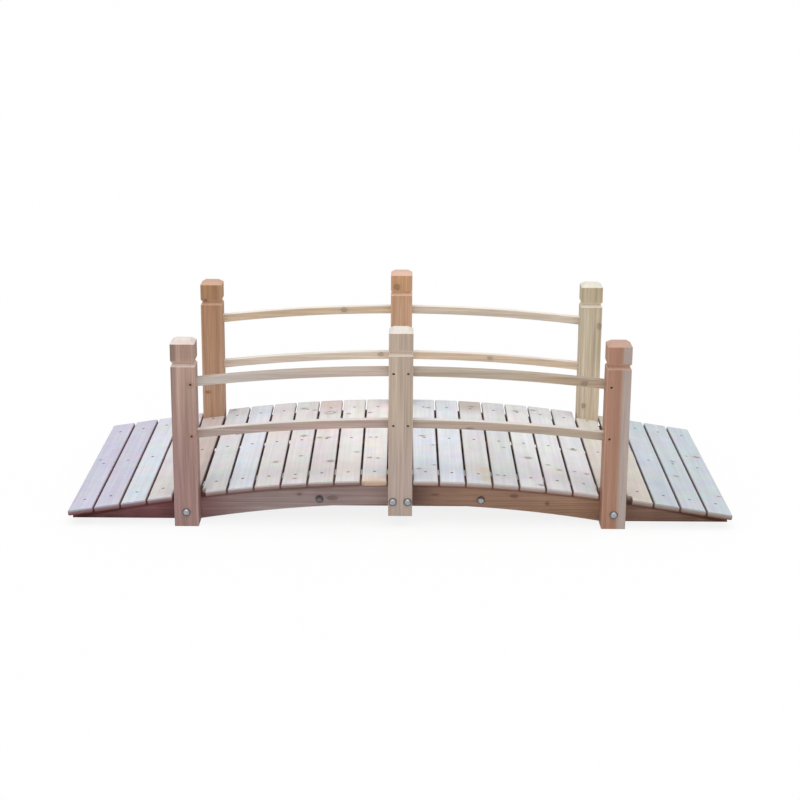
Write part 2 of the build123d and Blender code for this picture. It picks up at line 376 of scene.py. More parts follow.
def fir(
    name, pale, dark, grain, pith, knots=(), stains=(), bleach_and_top_light=None, bleach_and_top_light_share=0.0,
    ring_width=0.005, ring_share=0.62, ends=None, gap_shade=None, pale_band=None, shades=(),
    edge=(0.3, 1.12), below=None, figure=1.0,
):
    """Dry unpainted fir for one piece: its own two colours, pith, knots and stains, and tone changes along
    it, some of them painted shade or light. Where given, it also carries painted top light on faces that
    look up, a sheen on eased edges, and shade in the gaps and under the deck.
    """
    material = bpy.data.materials.new(name)
    material.use_nodes = True
    tree = material.node_tree
    shader = tree.nodes["Principled BSDF"]
    where = add_node(tree, "ShaderNodeTexCoord").outputs
    sides = add_node(tree, "ShaderNodeSeparateXYZ", {0: where["Object"]}).outputs
    turns = {"Vector": where["Object"], "Location": pith, "Rotation": GRAIN_TURNS[grain]}
    turned = add_node(tree, "ShaderNodeMapping", turns).outputs[0]
    log = {"Vector": turned, "Ring width": ring_width}
    wood = add_node(tree, "ShaderNodeGroup", log, node_tree=FIR_GRAIN).outputs
    sawn = {"Normal": where["Normal"], "Grain": GRAIN_LINES[grain]}
    faces = add_node(tree, "ShaderNodeGroup", sawn, node_tree=SAWN_FACES).outputs

    middle = tuple(PALE_PART * p + (1 - PALE_PART) * d for p, d in zip(pale, dark))
    patches = ramp_of(tree, wood["Patches"], 0.34, 0.66, 0.5 - 0.5 * figure, 0.5 + 0.5 * figure)
    colour = blend_of(tree, patches, shaded(pale, 1), shaded(middle, 1))
    if pale_band:
        border, tone = pale_band
        outer = ramp_of(tree, sides["X"], border - PALE_BAND_BLUR, border + PALE_BAND_BLUR)
        colour = blend_of(tree, outer, colour, shaded(tone, 1))
    for axis, start, finish, tone in shades:
        colour = blend_of(tree, ramp_of(tree, sides[axis], start, finish), colour, tone, "MULTIPLY")
    lines = sum_of(tree, "MULTIPLY", wood["Rings"], ring_share)
    colour = blend_of(tree, lines, colour, shaded(dark, 1))
    streaks = ramp_of(tree, wood["Streaks"], 0.3, 0.7, 1 - 0.18 * figure, 1 + 0.14 * figure)
    colour = blend_of(tree, 1.0, colour, streaks, "MULTIPLY")
    fibres = ramp_of(tree, wood["Fibres"], 0.3, 0.7, 0.86, 1.10)
    colour = blend_of(tree, 1.0, colour, fibres, "MULTIPLY")
    end_tone = ends or middle
    end_grain = blend_of(tree, wood["Rings"], shaded(end_tone, 0.95), shaded(end_tone, 0.62))
    colour = blend_of(tree, faces["End"], colour, end_grain)
    # Painted shade on the sides that look along X, for the gaps between deck boards.
    if gap_shade:
        colour = blend_of(tree, faces["Flank"], colour, gap_shade, "MULTIPLY")
    # Eased edges are lightened: a painted sheen as well as wear.
    edge_share, edge_light = edge
    edge_sheen_and_wear = sum_of(tree, "MULTIPLY", faces["Edge"], edge_share)
    colour = blend_of(tree, edge_sheen_and_wear, colour, shaded(pale, edge_light))

    # Faces that look up take the top colour: part bleach, part painted top light.
    weather_and_top_light = faces["Up"]
    # Painted shade: darker within a given depth under the top, for the shadow under the deck on the
    # stringers and for the boards' lower parts.
    if below:
        height, slope, bend, start, finish, tone = below
        bent = sum_of(tree, "MULTIPLY", sum_of(tree, "MULTIPLY", sides["X"], sides["X"]), bend)
        sloped = sum_of(tree, "MULTIPLY_ADD", sides["X"], slope, height)
        depth = sum_of(tree, "SUBTRACT", sum_of(tree, "SUBTRACT", sloped, bent), sides["Z"])
        colour = blend_of(tree, ramp_of(tree, depth, start, finish), colour, tone, "MULTIPLY")
        if bleach_and_top_light:
            fading = ramp_of(tree, depth, *BLEACH_AND_TOP_LIGHT_DEPTH, BLEACH_AND_TOP_LIGHT_SIDES, 0.0)
            weather_and_top_light = sum_of(tree, "MAXIMUM", weather_and_top_light, fading)
    if bleach_and_top_light:
        clouds = ramp_of(tree, wood["Patches"], 0.35, 0.7, 0.0, 0.5)
        cold = blend_of(tree, clouds, shaded(bleach_and_top_light, 1.04), shaded(bleach_and_top_light, 0.9))
        washed_streaks = ramp_of(tree, wood["Streaks"], 0.3, 0.7, 0.93, 1.05)
        cold = blend_of(tree, 1.0, cold, washed_streaks, "MULTIPLY")
        mottle = noise_of(tree, where["Object"], MOTTLE_SCALE, 3.0, out="Color")
        centred = vector_of(tree, "SUBTRACT", mottle, (0.5, 0.5, 0.5))
        faint = vector_of(tree, "MULTIPLY", centred, MOTTLE)
        cold = blend_of(tree, 1.0, cold, vector_of(tree, "ADD", faint, (1, 1, 1)), "MULTIPLY")
        colour = blend_of(tree, sum_of(tree, "MULTIPLY", weather_and_top_light, bleach_and_top_light_share), colour, cold)
    for spot, radius, tone in stains:
        stain = knot_at(tree, where["Object"], spot, radius)
        mask = sum_of(tree, "MULTIPLY", stain["Halo"], STAIN_SHARE)
        colour = blend_of(tree, mask, colour, shaded(tone, 1))
    for spot, radius, stretch in knots:
        knot = knot_at(tree, where["Object"], spot, radius, stretch)
        for part, share, tone in KNOT_PARTS:
            if part == "Heart" and radius >= OPEN_RING:
                continue
            mask = sum_of(tree, "MULTIPLY", knot[part], share)
            colour = blend_of(tree, mask, colour, shaded(dark, tone))

    tree.links.new(colour, shader.inputs["Base Color"])
    tree.links.new(ramp_of(tree, wood["Fibres"], 0.0, 1.0, 0.66, 0.86), shader.inputs["Roughness"])
    shader.inputs["Specular IOR Level"].default_value = FIR_SHEEN
    relief = sum_of(tree, "MULTIPLY_ADD", wood["Rings"], -0.5, wood["Fibres"])
    raised = {"Height": relief, "Strength": FIR_BUMP, "Distance": FIR_RELIEF}
    tree.links.new(add_node(tree, "ShaderNodeBump", raised).outputs[0], shader.inputs["Normal"])
    return material


def dress(node, material):
    """Gives a piece of the frame its finish."""
    nodes[node].data.materials.clear()
    nodes[node].data.materials.append(material)


def middle_of(node):
    """The middle of a piece's box."""
    low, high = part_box(node)
    return (Vector(low) + Vector(high)) / 2


chance = random.Random(GRAIN_SEED)
for key, (pale, dark) in STRINGER_WOODS.items():
    node = f"{key}_stringer"
    spot = middle_of(node)
    start = chance.uniform(-LOG_REACH, LOG_REACH)
    dress(node, fir(
        node, pale, dark, "X",
        pith=(spot.z + STRINGER_PITH_ABOVE, -spot.y + STRINGER_PITH_BEHIND, start),
        knots=STRINGER_KNOTS.get(key, ()),
        ring_width=STRINGER_RING_WIDTH,
        shades=STRINGER_SHADES.get(key, ()),
        below=SHADOW_UNDER_BOARDS,
    ))


# Splice boards
# A short straight board behind each stringer joint, bolted through both halves.
# The same dry fir, cut square, a little redder than the planks that it joins.
SPLICE_PALE = (0.58, 0.40, 0.32)
SPLICE_DARK = (0.33, 0.20, 0.15)
SPLICE_RING_WIDTH = 0.0055
SPLICE_PITH_ABOVE = 0.05
SPLICE_PITH_BEHIND = 0.06
for line in ("front", "middle", "back"):
    node = f"{line}_splice"
    spot = middle_of(node)
    start = chance.uniform(-LOG_REACH, LOG_REACH)
    pith = (spot.z + SPLICE_PITH_ABOVE, -spot.y + SPLICE_PITH_BEHIND, start)
    dress(node, fir(node, SPLICE_PALE, SPLICE_DARK, "X", pith, ring_width=SPLICE_RING_WIDTH))


# Posts
# Six square posts planed from small logs, eased at the corners, with a chamfered
# cap over a sawn V groove. Each log has its own colours and knots. Faces that look
# up are lighter, part bleach and part painted top light, and eased corners carry a
# painted sheen as well as wear.
POST_WOODS = {
    "front_left": ((0.51, 0.345, 0.285), (0.255, 0.15, 0.12)),
    "front_middle": ((0.585, 0.47, 0.373), (0.36, 0.26, 0.20)),
    "front_right": ((0.438, 0.242, 0.168), (0.28, 0.135, 0.088)),
    "back_left": ((0.56, 0.335, 0.21), (0.33, 0.155, 0.083)),
    "back_middle": ((0.70, 0.44, 0.29), (0.41, 0.215, 0.12)),
    "back_right": ((0.70, 0.605, 0.455), (0.43, 0.325, 0.21)),
}
POST_CAPS = {
    "front_left": ((0.80, 0.72, 0.68), 0.85),
    "front_middle": ((0.80, 0.77, 0.70), 0.85),
    "front_right": ((0.62, 0.44, 0.38), 0.55),
    "back_left": ((0.60, 0.42, 0.34), 0.55),
    "back_middle": ((0.70, 0.53, 0.46), 0.6),
    "back_right": ((0.76, 0.76, 0.70), 0.8),
}
POST_KNOTS = {
    "back_left": [
        ((-0.503, 0.283, 0.145), 0.005, (0.8, 1, 1.5)),
        ((-0.504, 0.283, 0.388), 0.005, (1, 1, 1)),
    ],
    "back_middle": [((-0.012, 0.283, 0.428), 0.008, (1, 1, 1))],
    "back_right": [
        ((0.511, 0.283, 0.329), 0.006, (1, 1, 0.7)),
        ((0.477, 0.283, 0.115), 0.005, (1, 1, 0.8)),
    ],
}
# A paler band down the right part of the front right post.
PALE_BAND = {"front_right": (0.497, (0.46, 0.38, 0.34))}
POST_RING_WIDTH = 0.0058
POST_RING_SHARE = 0.45
POST_RING_SHARES = {"front_right": 0.16, "front_left": 0.32}
POST_FIGURES = {"front_right": 0.45}
POST_SHADES = {
    # Painted highlight: a light strip down the front right post's left edge.
    "front_right": [("X", 0.4665, 0.4635, (1.28, 1.32, 1.36, 1))],
    "front_left": [
        ("Z", 0.30, 0.14, (0.90, 0.84, 0.93, 1)),
        ("X", -0.503, -0.507, (0.80, 0.80, 0.84, 1)),
        ("Z", 0.38, 0.40, (0.84, 0.84, 0.81, 1)),
    ],
    "front_middle": [("Z", 0.30, 0.14, (0.90, 0.885, 0.97, 1))],
    "back_left": [
        ("Z", 0.30, 0.16, (1.05, 1.12, 1.2, 1)),
        ("Z", 0.36, 0.40, (0.92, 0.90, 0.80, 1)),
    ],
    "back_middle": [("Z", 0.38, 0.42, (0.99, 0.93, 0.80, 1))],
    "back_right": [
        ("Z", 0.30, 0.16, (1.14, 1.11, 1.14, 1)),
        ("Z", 0.36, 0.40, (0.92, 0.89, 0.82, 1)),
    ],
}
RUST = (0.36, 0.20, 0.13)
POST_STAINS = {
    "front_left": [((-0.473, -0.337, 0.215), 0.004, RUST), ((-0.473, -0.337, 0.3365), 0.004, RUST)],
}
# A painted sheen and wear on the posts' eased corners.
POST_EDGE_SHEEN_AND_WEAR = (0.5, 1.3)
POST_PITH_ASIDE = 0.015
POST_PITH_BEYOND = 0.05
for key, (pale, dark) in POST_WOODS.items():
    node = f"{key}_post"
    spot = middle_of(node)
    pith_x = -spot.x + chance.uniform(-POST_PITH_ASIDE, POST_PITH_ASIDE)
    pith_y = -spot.y + chance.choice((-POST_PITH_BEYOND, POST_PITH_BEYOND))
    cap, cap_share = POST_CAPS[key]
    dress(node, fir(
        node, pale, dark, "Z",
        pith=(pith_x, pith_y, chance.uniform(-LOG_REACH, LOG_REACH)),
        knots=POST_KNOTS.get(key, ()),
        stains=POST_STAINS.get(key, ()),
        bleach_and_top_light=cap,
        bleach_and_top_light_share=cap_share,
        ring_width=POST_RING_WIDTH,
        ring_share=POST_RING_SHARES.get(key, POST_RING_SHARE),
        pale_band=PALE_BAND.get(key),
        shades=POST_SHADES.get(key, ()),
        edge=POST_EDGE_SHEEN_AND_WEAR,
        figure=POST_FIGURES.get(key, 1.0),
    ))


# Rails
# Eight slim rails sawn to the deck's bow from straight boards, so the grain runs
# straight through the bend. Their ends are let into the posts.
RAIL_WOODS = {
    "front_left_upper": ((0.62, 0.51, 0.44), (0.39, 0.31, 0.25)),
    "front_left_lower": ((0.56, 0.425, 0.375), (0.36, 0.25, 0.21)),
    "front_right_upper": ((0.565, 0.48, 0.39), (0.345, 0.265, 0.195)),
    "front_right_lower": ((0.525, 0.42, 0.35), (0.345, 0.25, 0.19)),
    "back_left_upper": ((0.79, 0.62, 0.45), (0.55, 0.40, 0.27)),
    "back_left_lower": ((0.85, 0.73, 0.60), (0.56, 0.43, 0.34)),
    "back_right_upper": ((0.82, 0.70, 0.57), (0.53, 0.42, 0.31)),
    "back_right_lower": ((0.85, 0.68, 0.51), (0.55, 0.39, 0.28)),
}
# The rails' tops take their own top colour: part bleach, part painted top light.
RAIL_BLEACH_AND_TOP_LIGHT = (0.84, 0.81, 0.77)
RAIL_BLEACH_AND_TOP_LIGHT_SHARE = 0.75
RAIL_DULL_TOPS = {"front_left_upper": (0.39, 0.32, 0.27), "front_right_upper": (0.38, 0.33, 0.26)}
RAIL_RING_WIDTH = 0.0045
RAIL_PITH_ABOVE = (0.03, 0.07)
RAIL_PITH_ASIDE = 0.03
RAIL_SHADES = {
    "front_left_upper": [("X", -0.22, -0.36, (1.0, 1.09, 1.16, 1))],
    "front_left_lower": [("X", -0.20, -0.34, (0.88, 0.92, 0.94, 1))],
    "front_right_upper": [("X", 0.20, 0.36, (0.88, 0.77, 0.68, 1))],
    "front_right_lower": [("X", 0.20, 0.36, (1.12, 1.17, 1.13, 1))],
}
RAIL_KNOTS = {
    "front_right_upper": [((0.413, -0.319, 0.341), 0.006, (0.8, 1, 1))],
    "front_right_lower": [((0.157, -0.319, 0.233), 0.004, (0.5, 1, 1.5))],
    "back_left_upper": [((-0.148, 0.301, 0.363), 0.006, (0.8, 1, 1))],
    "back_left_lower": [((-0.053, 0.301, 0.246), 0.006, (0.8, 1, 1))],
    "back_right_lower": [((0.231, 0.301, 0.237), 0.005, (0.7, 1, 1.2))],
}
for key, (pale, dark) in RAIL_WOODS.items():
    node = f"{key}_rail"
    spot = middle_of(node)
    pith_z = spot.z + chance.uniform(*RAIL_PITH_ABOVE)
    pith_y = -spot.y + chance.uniform(-RAIL_PITH_ASIDE, RAIL_PITH_ASIDE)
    dress(node, fir(
        node, pale, dark, "X",
        pith=(pith_z, pith_y, chance.uniform(-LOG_REACH, LOG_REACH)),
        knots=RAIL_KNOTS.get(key, ()),
        bleach_and_top_light=RAIL_DULL_TOPS.get(key, RAIL_BLEACH_AND_TOP_LIGHT),
        bleach_and_top_light_share=RAIL_BLEACH_AND_TOP_LIGHT_SHARE,
        ring_width=RAIL_RING_WIDTH,
        shades=RAIL_SHADES.get(key, ()),
    ))


# Deck boards
# Twenty-five sawn boards with eased long edges, a cold grey-white on top, part
# bleached by sun and rain and part painted top light, each a little warmer or bluer
# than the next. Their sides in the gaps and their lower parts carry painted shade.
BOARD_TINTS = {
    "mauve": (0.555, 0.565, 0.68),
    "ice": (0.65, 0.70, 0.77),
    "frost": (0.69, 0.735, 0.80),
    "rose": (0.69, 0.67, 0.675),
    "cream": (0.78, 0.76, 0.755),
    "chalk": (0.65, 0.665, 0.68),
    "cloud": (0.70, 0.71, 0.725),
    "pewter": (0.505, 0.57, 0.625),
    "straw": (0.61, 0.58, 0.525),
    "clay": (0.53, 0.46, 0.42),
}
BOARD_FINISHES = (
    "mauve", "mauve", "ice", "rose", "clay", "chalk", "frost", "rose", "rose",
    "rose", "cream", "cream", "straw", "frost", "frost", "chalk", "chalk",
    "cloud", "cloud", "cloud", "straw", "straw", "pewter", "pewter", "pewter",
)
BOARD_KNOTS = {
    1: [(-0.014, 0.035, 0.004)],
    6: [(-0.013, 0.325, 0.005), (0.016, 0.095, 0.005)],
    8: [(0.008, -0.165, 0.007)],
    9: [
        (-0.010, 0.276, 0.007), (0.020, 0.255, 0.005), (0.003, 0.032, 0.008), (0.005, -0.131, 0.005),
        (0.0, -0.30, 0.005),
    ],
    10: [(0.0, 0.225, 0.016), (-0.018, 0.010, 0.006), (0.004, 0.008, 0.006), (0.017, -0.183, 0.009)],
    11: [(-0.013, 0.209, 0.006), (0.016, -0.118, 0.005)],
    12: [(-0.020, 0.214, 0.006), (-0.013, -0.164, 0.006), (0.006, -0.168, 0.005), (-0.014, 0.0, 0.004)],
    14: [
        (-0.005, 0.013, 0.007), (0.013, 0.263, 0.006), (-0.015, -0.247, 0.005), (0.021, -0.217, 0.004),
        (0.021, -0.060, 0.004),
    ],
    16: [(0.004, 0.29, 0.006)],
    17: [(-0.015, -0.268, 0.005), (0.010, -0.05, 0.004)],
    18: [(0.004, -0.117, 0.009), (0.022, -0.315, 0.007), (-0.002, 0.28, 0.007)],
    19: [(-0.017, 0.305, 0.007), (-0.012, -0.157, 0.005), (0.012, -0.187, 0.006)],
    20: [(0.0, -0.009, 0.009), (0.015, -0.192, 0.006), (-0.012, -0.185, 0.004)],
    24: [(0.003, 0.02, 0.006), (-0.006, -0.10, 0.006)],
    25: [(0.012, 0.09, 0.009), (-0.014, 0.085, 0.004), (0.018, -0.21, 0.005)],
}
BOARD_STAINS = {
    16: [
        (0.0, 0.31, 0.035, (0.44, 0.34, 0.29)),
        (0.026, -0.24, 0.014, (0.62, 0.54, 0.36)),
        (0.026, -0.30, 0.012, (0.55, 0.47, 0.30)),
    ],
    12: [(0.0, -0.345, 0.018, (0.72, 0.52, 0.36))],
    8: [(-0.004, 0.10, 0.018, (0.70, 0.58, 0.54))],
    10: [(0.0, 0.31, 0.030, (0.60, 0.48, 0.42))],
}
KNOT_ACROSS = (1.1, 1.35, 1.1)
RED_WOOD = ((0.43, 0.27, 0.26), (0.25, 0.13, 0.13))
TAN_WOOD = ((0.52, 0.40, 0.34), (0.32, 0.22, 0.18))
# Each run: last board, wood colours, end-grain colour, and the painted shade for the board sides in the
# gaps.
BOARD_RUNS = (
    (4, RED_WOOD, (0.272, 0.148, 0.162), (0.78, 0.68, 0.76, 1)),
    (7, RED_WOOD, (0.33, 0.235, 0.22), (0.46, 0.42, 0.44, 1)),
    (13, TAN_WOOD, (0.31, 0.21, 0.185), (0.40, 0.36, 0.38, 1)),
    (21, TAN_WOOD, (0.44, 0.335, 0.29), (0.40, 0.37, 0.40, 1)),
    (25, TAN_WOOD, (0.33, 0.25, 0.21), (0.60, 0.62, 0.72, 1)),
)
# Painted shade: each board darkens towards its underside, on its ends and sides.
BOARD_FOOT_PAINTED_SHADE = (0.55, 0.42, 0.40, 1)
BOARD_FOOT_FADES = 0.0075
BOARD_FOOT_DEEPEST = 0.0105
BOARD_BLEACH_AND_TOP_LIGHT_SHARE = 0.88
BOARD_RING_WIDTH = 0.0052
BOARD_PITH_ASIDE = 0.02
BOARD_PITH_OFF = (0.02, 0.06)
BETWEEN_SCREW_ROWS = 0.1


def board_top(node):
    """A point on a board's top face over its middle, clear of the screws, and the face's normal."""
    start = Vector((middle_of(node).x, BETWEEN_SCREW_ROWS, 1))
    _, top, normal, _ = nodes[node].ray_cast(start, Vector((0, 0, -1)))
    return top, normal


for number, finish in enumerate(BOARD_FINISHES, 1):
    node = f"deck_board_{number:02d}"
    spot = middle_of(node)
    pith_x = -spot.x + chance.uniform(-BOARD_PITH_ASIDE, BOARD_PITH_ASIDE)
    pith_z = spot.z + chance.choice((-1, 1)) * chance.uniform(*BOARD_PITH_OFF)
    top, normal = board_top(node)
    slope = -normal.x / normal.z
    (warm, dark), ends, gap_shade = next(run[1:] for run in BOARD_RUNS if number <= run[0])
    dress(node, fir(
        node, warm, dark, "Y",
        pith=(pith_x, pith_z, chance.uniform(-LOG_REACH, LOG_REACH)),
        knots=[
            ((spot.x + x, y, top.z + slope * x), radius, KNOT_ACROSS)
            for x, y, radius in BOARD_KNOTS.get(number, ())
        ],
        stains=[
            ((spot.x + x, y, top.z + slope * x), radius, tone)
            for x, y, radius, tone in BOARD_STAINS.get(number, ())
        ],
        bleach_and_top_light=BOARD_TINTS[finish],
        bleach_and_top_light_share=BOARD_BLEACH_AND_TOP_LIGHT_SHARE,
        ring_width=BOARD_RING_WIDTH,
        ends=ends,
        gap_shade=gap_shade,
        below=(
            top.z - slope * spot.x, slope, 0.0, BOARD_FOOT_FADES, BOARD_FOOT_DEEPEST, BOARD_FOOT_PAINTED_SHADE,
        ),
    ))


# Bolts
# Zinc-plated coach bolts with low domed heads hold the posts and splices to the
# stringers. Each passes a broad washer, and a washer and hex nut draw it up behind.
BOLT_RADIUS = 0.0037
WASHER_RADIUS = 0.0095
WASHER_THICKNESS = 0.0016
WASHER_EASE = 0.0004
DOME_RADIUS = 0.0076
DOME_HEIGHT = 0.0043
DOME_STEPS = 6
DOME_SWEEP = math.radians(84)
NUT_CORNER = 0.0075
NUT_HEIGHT = 0.0064
NUT_EASE = 0.0007
THREAD_PITCH = 0.00125
THREAD_TURNS = 5
THREAD_SIZE = 0.0006
THREAD_STEPS = 16
END_INSET = 0.0006
END_PROUD = 0.0005
CORNER_BOLT_UP = 0.034
PAIR_BOLT_OUT = 0.017
SPLICE_BOLT_IN = 0.048
SPLICE_BOLT_UP = 0.025
ROUND_SIDES = 24
NUT_SIDES = 6
FLAT = 0.9
SMOOTH_BELOW = math.radians(35)


def bar(radius, low, high, sides):
    """A bar along Z between two heights, with its place in its mesh."""
    bpy.ops.mesh.primitive_cylinder_add(
        vertices=sides, radius=radius, depth=high - low, location=(0, 0, (low + high) / 2),
    )
    bpy.ops.object.transform_apply(location=True)
    return bpy.context.object


def pick_faces(piece, wanted):
    """Selects, in edit mode, the faces whose middle and normal pass a test."""
    bpy.ops.object.mode_set(mode="EDIT")
    bpy.ops.mesh.select_mode(type="FACE")
    bpy.ops.mesh.select_all(action="DESELECT")
    bpy.ops.object.mode_set(mode="OBJECT")
    for face in piece.data.polygons:
        face.select = wanted(face.center, face.normal)
    bpy.ops.object.mode_set(mode="EDIT")


def draw_out(radius, steps):
    """Carries the chosen end face on through steps of rise and new radius, as on a lathe."""
    for rise, wider in steps:
        bpy.ops.mesh.extrude_region_move(TRANSFORM_OT_translate={"value": (0, 0, rise)})
        bpy.ops.transform.resize(value=(wider / radius, wider / radius, 1))
        radius = wider


def join_up(pieces):
    """Joins pieces into the first of them."""
    bpy.ops.object.select_all(action="DESELECT")
    for piece in pieces:
        piece.select_set(True)
    bpy.context.view_layer.objects.active = pieces[0]
    bpy.ops.object.join()
    return pieces[0]


STEEL_CLOUD_SCALE = 260.0
STEEL_DIRT = 0.55
STEEL_PITS = 0.3
STEEL_PIT_DEPTH = 0.0002


def dull_steel(name, tone, metal, rough):
    """Weathered plate or bare steel: clouded, a little dirty, with small pits."""
    material = bpy.data.materials.new(name)
    material.use_nodes = True
    tree = material.node_tree
    shader = tree.nodes["Principled BSDF"]
    where = add_node(tree, "ShaderNodeTexCoord").outputs["Object"]
    cloud = noise_of(tree, where, STEEL_CLOUD_SCALE, 4.0)
    dirty = ramp_of(tree, cloud, 0.35, 0.7)
    colour = blend_of(tree, dirty, shaded(tone, 1), shaded(tone, STEEL_DIRT))
    tree.links.new(colour, shader.inputs["Base Color"])
    tree.links.new(ramp_of(tree, cloud, 0.3, 0.7, rough - 0.08, rough + 0.14), shader.inputs["Roughness"])
    shader.inputs["Metallic"].default_value = metal
    pits = {"Height": cloud, "Strength": STEEL_PITS, "Distance": STEEL_PIT_DEPTH}
    tree.links.new(add_node(tree, "ShaderNodeBump", pits).outputs[0], shader.inputs["Normal"])
    return material


ZINC = dull_steel("zinc_plate", (0.44, 0.445, 0.475), 0.9, 0.28)
# The washers take a darker copy of the zinc: painted shade for the dark ring round each bolt head.
SHADED_WASHER_ZINC = dull_steel("shaded_washer_zinc", (0.17, 0.165, 0.175), 0.75, 0.5)
STAINED_ZINC = dull_steel("stained_zinc", (0.25, 0.21, 0.20), 0.7, 0.5)


def washer(top):
    """A round washer below a height, with its rims eased."""
    flat_radius = WASHER_RADIUS - WASHER_EASE
    foot = top - WASHER_THICKNESS
    piece = bar(flat_radius, foot, foot + WASHER_EASE, ROUND_SIDES)
    pick_faces(piece, lambda middle, normal: normal.z > FLAT)
    bpy.ops.transform.resize(value=(WASHER_RADIUS / flat_radius, WASHER_RADIUS / flat_radius, 1))
    rim = WASHER_THICKNESS - 2 * WASHER_EASE
    draw_out(WASHER_RADIUS, [(rim, WASHER_RADIUS), (WASHER_EASE, flat_radius)])
    bpy.ops.object.mode_set(mode="OBJECT")
    piece.data.materials.append(SHADED_WASHER_ZINC)
    return piece


def domed_shank(length):
    """A bolt's round shank down from height nought, its domed head above and its eased tip."""
    shank = bar(BOLT_RADIUS, -length, 0, ROUND_SIDES)
    pick_faces(shank, lambda middle, normal: normal.z > FLAT)
    angles = [step / DOME_STEPS * DOME_SWEEP for step in range(DOME_STEPS + 1)]
    dome = [
        (DOME_HEIGHT * (math.sin(high) - math.sin(low)), DOME_RADIUS * math.cos(high))
        for low, high in zip(angles, angles[1:])
    ]
    draw_out(BOLT_RADIUS, [(WASHER_THICKNESS, BOLT_RADIUS), (0, DOME_RADIUS)] + dome)
    pick_faces(shank, lambda middle, normal: normal.z < -FLAT and middle.z < END_PROUD - length)
    bpy.ops.mesh.inset(thickness=END_INSET, depth=0.0)
    bpy.ops.transform.translate(value=(0, 0, -END_PROUD))
    bpy.ops.object.mode_set(mode="OBJECT")
    return shank


def hex_nut(top):
    """A hex nut below a height, with its corners eased."""
    nut = bar(NUT_CORNER, top - NUT_HEIGHT, top, NUT_SIDES)
    pick_faces(nut, lambda middle, normal: abs(normal.z) > FLAT)
    bpy.ops.mesh.bevel(offset=NUT_EASE, segments=2, affect="EDGES")
    bpy.ops.object.mode_set(mode="OBJECT")
    return nut


def screw_thread(top):
    """The ridge of the thread that shows under the nut, wound down from a height."""
    bpy.ops.mesh.primitive_circle_add(
        vertices=3, radius=THREAD_SIZE, location=(BOLT_RADIUS, 0, top), rotation=(math.pi / 2, 0, 0),
    )
    thread = bpy.context.object
    bpy.ops.object.transform_apply(location=True, rotation=True)
    coil = thread.modifiers.new("coil", "SCREW")
    coil.screw_offset = -THREAD_PITCH
    coil.iterations = THREAD_TURNS - 1
    coil.steps = THREAD_STEPS
    coil.render_steps = THREAD_STEPS
    bpy.ops.object.modifier_apply(modifier=coil.name)
    bpy.ops.object.mode_set(mode="EDIT")
    bpy.ops.mesh.select_all(action="SELECT")
    bpy.ops.mesh.fill_holes(sides=3)
    bpy.ops.mesh.normals_make_consistent(inside=False)
    bpy.ops.object.mode_set(mode="OBJECT")
    return thread


def coach_bolt(grip):
    """A bolt along Z: its washer seats at height nought and the nut's washer a grip below."""
    nut_top = -grip - WASHER_THICKNESS
    shank = domed_shank(NUT_HEIGHT + THREAD_TURNS * THREAD_PITCH - nut_top)
    nut = hex_nut(nut_top)
    thread = screw_thread(nut_top - NUT_HEIGHT - THREAD_SIZE)
    for piece in (shank, nut, thread):
        piece.data.materials.append(ZINC)
    return join_up([shank, washer(WASHER_THICKNESS), nut, washer(-grip), thread])


def set_out(master, name, location, rotation):
    """A copy of a fastener in its place, riding with the bridge."""
    bpy.ops.object.select_all(action="DESELECT")
    master.select_set(True)
    bpy.context.view_layer.objects.active = master
    bpy.ops.object.duplicate()
    piece = bpy.context.object
    piece.name = name
    piece.location = location
    piece.rotation_euler = rotation
    bpy.ops.object.transform_apply(location=True, rotation=True)
    bpy.ops.object.shade_smooth_by_angle(angle=SMOOTH_BELOW)
    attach(piece, "root")
    return piece


HEAD_FORWARD = (math.pi / 2, 0, 0)
HEAD_BACK = (-math.pi / 2, 0, 0)
splice_low, splice_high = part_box("front_splice")
splice_bolt_x = splice_high[0] - SPLICE_BOLT_IN
splice_bolt_z = splice_low[2] + SPLICE_BOLT_UP
pair_bolt_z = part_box("front_middle_post")[0][2] + CORNER_BOLT_UP
for side, sign, turn in (("front", -1, HEAD_FORWARD), ("back", 1, HEAD_BACK)):
    post_face = max(abs(edge[1]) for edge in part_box(f"{side}_left_post"))
    beam_edges = sorted(abs(edge[1]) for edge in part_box(f"{side}_left_stringer"))
    splice_face = min(abs(edge[1]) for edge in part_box(f"{side}_splice"))
    places = {
        "corner": (post_face, beam_edges[0], CORNER_BOLT_UP, middle_of(f"{side}_right_post").x),
        "pair": (post_face, splice_face, pair_bolt_z, PAIR_BOLT_OUT),
        "splice": (beam_edges[1], splice_face, splice_bolt_z, splice_bolt_x),
    }
    for use, (head_face, nut_face, height, out) in places.items():
        master = coach_bolt(head_face - nut_face)
        for hand, way in (("left", -1), ("right", 1)):
            bolt = set_out(master, f"{side}_{hand}_{use}_bolt", (way * out, sign * head_face, height), turn)
            if (side, use, hand) == ("front", "splice", "left"):
                bolt.data.materials[0] = STAINED_ZINC
        bpy.data.objects.remove(master)

beam_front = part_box("middle_left_stringer")[0][1]
splice_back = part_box("middle_splice")[1][1]
master = coach_bolt(splice_back - beam_front)
for hand, way in (("left", -1), ("right", 1)):
    places = {"pair": (PAIR_BOLT_OUT, pair_bolt_z), "splice": (splice_bolt_x, splice_bolt_z)}
    for use, (out, height) in places.items():
        set_out(master, f"middle_{hand}_{use}_bolt", (way * out, beam_front, height), HEAD_FORWARD)
bpy.data.objects.remove(master)


